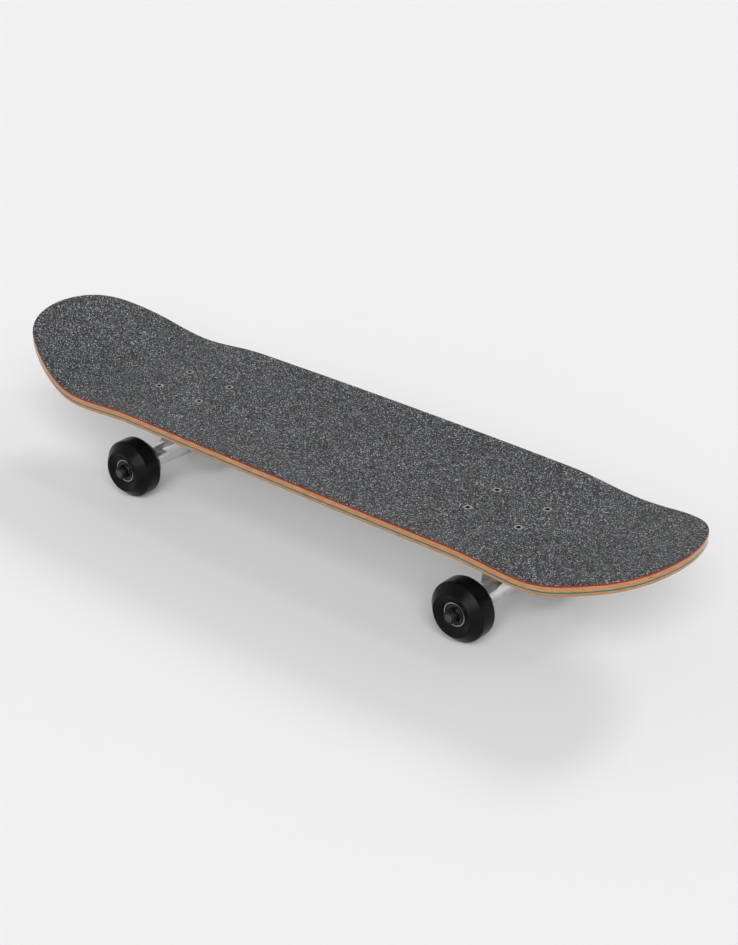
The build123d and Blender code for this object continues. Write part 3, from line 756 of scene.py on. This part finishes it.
def lock_nut(name, flats, height, bore, collar):
    """A lock nut that stands on Z = 0: bevelled hexagon below, round collar above."""
    deselect()
    corner = flats / sqrt(3)
    body = height - collar
    bpy.ops.mesh.primitive_cylinder_add(vertices=6, radius=corner, depth=body, location=(0, 0, body / 2))
    piece = bpy.context.active_object
    piece.name = name
    apply_place(piece)
    edit(piece)
    pick_edges(piece, lambda a, b: abs(a.z - b.z) > 1e-6)
    bpy.ops.mesh.bevel(offset=flats * 0.05, segments=3, affect="EDGES")
    pick_faces(piece, lambda middle, normal: abs(normal.z) > 0.9)
    bpy.ops.mesh.bevel(offset=flats * 0.045, segments=3, affect="EDGES")
    leave_edit()
    band = [
        (bore, body - 0.3 * MM),
        (flats * 0.46, body - 0.3 * MM),
        (flats * 0.46, height),
        (bore, height),
    ]
    collar_ring = lathe("collar", band, {2: collar * 0.5}, steps=48)
    smooth(piece, 30)
    return join([piece, collar_ring], name)


def make_mount_nuts():
    """The eight small nuts under the baseplates."""
    model = lock_nut("small_nut", 9.5 * MM, 5.5 * MM, 2.4 * MM, 1.6 * MM)
    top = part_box("mounting_nuts")[1][2]
    nuts = []
    for i, place in enumerate(bolt_places()):
        turn = Matrix.Translation((place.x, place.y, top)) @ Matrix.Rotation(pi, 4, "X")
        nuts.append(own_copy(model, f"small_nut_{i}", turn))
    remove(model)
    finish_piece(join(nuts, "mounting_nut_set"), "nut_steel", "deck", "nut_steel", "mounting_nuts")


def make_axle_nuts():
    """Both axle nuts of each truck."""
    start = 86.3 * MM
    model = lock_nut("axle_nut_model", 12.7 * MM, 6.5 * MM, 4.02 * MM, 1.9 * MM)
    for truck, (x, _) in TRUCKS.items():
        nuts = []
        for side in (-1, 1):
            place = Matrix.Translation((x, side * start, AXLE_Z))
            nuts.append(own_copy(model, "one_nut", place @ Matrix.Rotation(-side * pi / 2, 4, "X")))
        piece = join(nuts, f"{truck}_axle_nut_pair")
        finish_piece(piece, "black_steel", f"{truck}_hanger", "black_steel", f"{truck}_axle_nuts")
    remove(model)


def make_kingpin_nuts():
    """The big lock nut at the foot of each kingpin."""
    distance = 13.5 * MM
    model = lock_nut("kingpin_nut_model", 14.3 * MM, 6.4 * MM, 4.72 * MM, 2.0 * MM)
    down = Matrix.Translation((0, 0, -distance)) @ Matrix.Rotation(pi, 4, "X")
    for truck in TRUCKS:
        place = truck_place(truck) @ kingpin_place() @ down
        piece = own_copy(model, f"{truck}_kingpin_lock_nut", place)
        finish_piece(piece, "black_steel", "deck", "black_steel", f"{truck}_kingpin_nut")
    remove(model)


# ---------------------------------------------------------------- trucks


def cast_copy(node, name, voxel, passes):
    """A cast piece: the node's shape with its corners and joins softened into fillets."""
    piece = own_copy(frame["nodes"][node], name)
    edit(piece)
    bpy.ops.mesh.select_all(action="SELECT")
    bpy.ops.mesh.remove_doubles(threshold=2e-6)
    leave_edit()
    add_modifier(piece, "REMESH", mode="VOXEL", voxel_size=voxel, use_smooth_shade=True)
    add_modifier(piece, "SMOOTH", factor=0.5, iterations=passes)
    return piece


def make_castings():
    """The hangers and baseplates."""
    turn = truck_place("nose") @ truck_place("tail").inverted()
    for part, passes in (("hanger", 5), ("baseplate", 4)):
        tail = cast_copy(f"tail_{part}", f"tail_cast_{part}", 0.8 * MM, passes)
        nose = own_copy(tail, f"nose_cast_{part}", turn)
        for truck, piece in (("tail", tail), ("nose", nose)):
            body = f"{truck}_hanger" if part == "hanger" else "deck"
            activate(piece)
            bpy.ops.object.shade_smooth()
            finish_piece(piece, "cast_aluminium", body, "cast_aluminium", f"{truck}_{part}")


def make_bushings():
    """Barrel and cone bushings that squeeze between the deck and the hanger."""
    bore = 5.0 * MM
    half_ring = 3.5 * MM
    barrel_end = half_ring + 12.0 * MM
    cone_end = -half_ring - 8.5 * MM
    barrel = [
        (bore, half_ring),
        (10.6 * MM, half_ring),
        (12.5 * MM, half_ring + 2.6 * MM),
        (12.5 * MM, half_ring + 9.4 * MM),
        (10.6 * MM, barrel_end),
        (bore, barrel_end),
    ]
    cone = [
        (bore, -half_ring),
        (11.0 * MM, -half_ring),
        (9.5 * MM, cone_end),
        (bore, cone_end),
    ]
    barrel_soft = {1: 0.8 * MM, 2: 1.6 * MM, 3: 1.6 * MM, 4: 0.8 * MM}
    cone_soft = {1: 1.0 * MM, 2: 0.8 * MM}
    models = {
        "board": (lathe("barrel", barrel, barrel_soft, steps=64), half_ring, barrel_end),
        "road": (lathe("cone", cone, cone_soft, steps=64), -half_ring, cone_end),
    }
    for truck in TRUCKS:
        place = truck_place(truck) @ kingpin_place()
        for part, (model, hanger_end, deck_end) in models.items():
            piece = own_copy(model, f"{truck}_{part}_cushion", place)
            piece.data.materials.clear()
            piece.data.materials.append(MATERIALS["bushing_urethane"])
            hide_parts(f"{truck}_{part}_bushing")
            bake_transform(piece)
    for model, _, _ in models.values():
        remove(model)


# ---------------------------------------------------------------- wheels


def make_wheels():
    """The cast tyre of each wheel, turned about the axle."""
    seat = 11.0 * MM
    lip = 19.5 * MM
    tread = 28.0 * MM
    section = [
        (9.9 * MM, -5.0 * MM),
        (seat, -5.0 * MM),
        (seat, -12.0 * MM),
        (12.6 * MM, -12.6 * MM),
        (lip, -16.5 * MM),
        (tread, -7.5 * MM),
        (tread, 7.5 * MM),
        (lip, 16.5 * MM),
        (12.6 * MM, 12.6 * MM),
        (seat, 12.0 * MM),
        (seat, 5.0 * MM),
        (9.9 * MM, 5.0 * MM),
    ]
    soft = {4: 1.4 * MM, 5: 3.2 * MM, 6: 3.2 * MM, 7: 1.4 * MM, 3: 0.5 * MM, 8: 0.5 * MM}
    model = lathe("tyre_model", section, soft, steps=128)
    for truck, (x, _) in TRUCKS.items():
        for side, sign in SIDES.items():
            place = Matrix.Translation((x, sign * WHEEL_MIDDLE, AXLE_Z)) @ Matrix.Rotation(pi / 2, 4, "X")
            piece = own_copy(model, f"{truck}_{side}_cast_wheel", place)
            slot = "wheel_urethane"
            finish_piece(piece, slot, f"{truck}_{side}_wheel", slot, f"{truck}_{side}_tyre")
    remove(model)


# ---------------------------------------------------------------- stage


def make_stage():
    """A pale paper floor in a softly lit studio."""
    deselect()
    bpy.ops.mesh.primitive_plane_add(size=14)
    floor = bpy.context.active_object
    floor.name = "floor"
    n = Nodes("floor_paper")
    tone = n.noise(n.place, 1.5, 2.0)
    n.colour(n.ramp(tone, (0.3, (0.85, 0.85, 0.85)), (0.7, (0.86, 0.86, 0.86))))
    n.set(Roughness=0.85, Specular_IOR_Level=0.2)
    floor.data.materials.append(n.material)
    world = bpy.data.worlds.new("studio")
    bpy.context.scene.world = world
    world.use_nodes = True
    light_room(world.node_tree)
    add_sun("key", (-0.1, 1.0, 0.7), 0.84, 16)
    add_sun("fill", (0.65, -0.76, 0.8), 2.05, 40)
    add_sun("rim", (0.65, 0.24, 0.72), 0.16, 5)
    bpy.context.scene.view_settings.view_transform = "Standard"


def light_room(tree):
    """Soft light from low panels all round the room, with a dimmer ceiling."""
    backdrop = tree.nodes["Background"]
    direction = tree.nodes.new("ShaderNodeTexCoord")
    split = tree.nodes.new("ShaderNodeSeparateXYZ")
    ramp = tree.nodes.new("ShaderNodeValToRGB")
    tree.links.new(direction.outputs["Generated"], split.inputs[0])
    tree.links.new(split.outputs["Z"], ramp.inputs["Fac"])
    tree.links.new(ramp.outputs["Color"], backdrop.inputs["Color"])
    horizon, ceiling = ramp.color_ramp.elements
    horizon.position, horizon.color = 0.5, (1, 1, 1, 1)
    ceiling.position, ceiling.color = 1.0, (0.08, 0.08, 0.08, 1)
    ramp.color_ramp.elements.new(0.75).color = (0.24, 0.24, 0.24, 1)
    backdrop.inputs["Strength"].default_value = 0.85


def add_sun(name, source, power, spread):
    data = bpy.data.lights.new(name, "SUN")
    data.energy = power
    data.angle = radians(spread)
    light = bpy.data.objects.new(name, data)
    light.location = source
    light.rotation_euler = (-Vector(source)).to_track_quat("-Z", "Y").to_euler()
    bpy.context.scene.collection.objects.link(light)


def make_camera():
    data = bpy.data.cameras.new("camera")
    data.lens = CAMERA_LENS_MM
    data.sensor_width = 36
    camera = bpy.data.objects.new("camera", data)
    camera.location = CAMERA_PLACE
    way = Vector(CAMERA_TARGET) - Vector(CAMERA_PLACE)
    camera.rotation_euler = way.to_track_quat("-Z", "Y").to_euler()
    bpy.context.scene.collection.objects.link(camera)
    bpy.context.scene.camera = camera


paint_cad_nodes()
make_deck()
make_bolts()
make_mount_nuts()
make_axle_nuts()
make_kingpin_nuts()
make_castings()
make_bushings()
make_wheels()
make_stage()
make_camera()
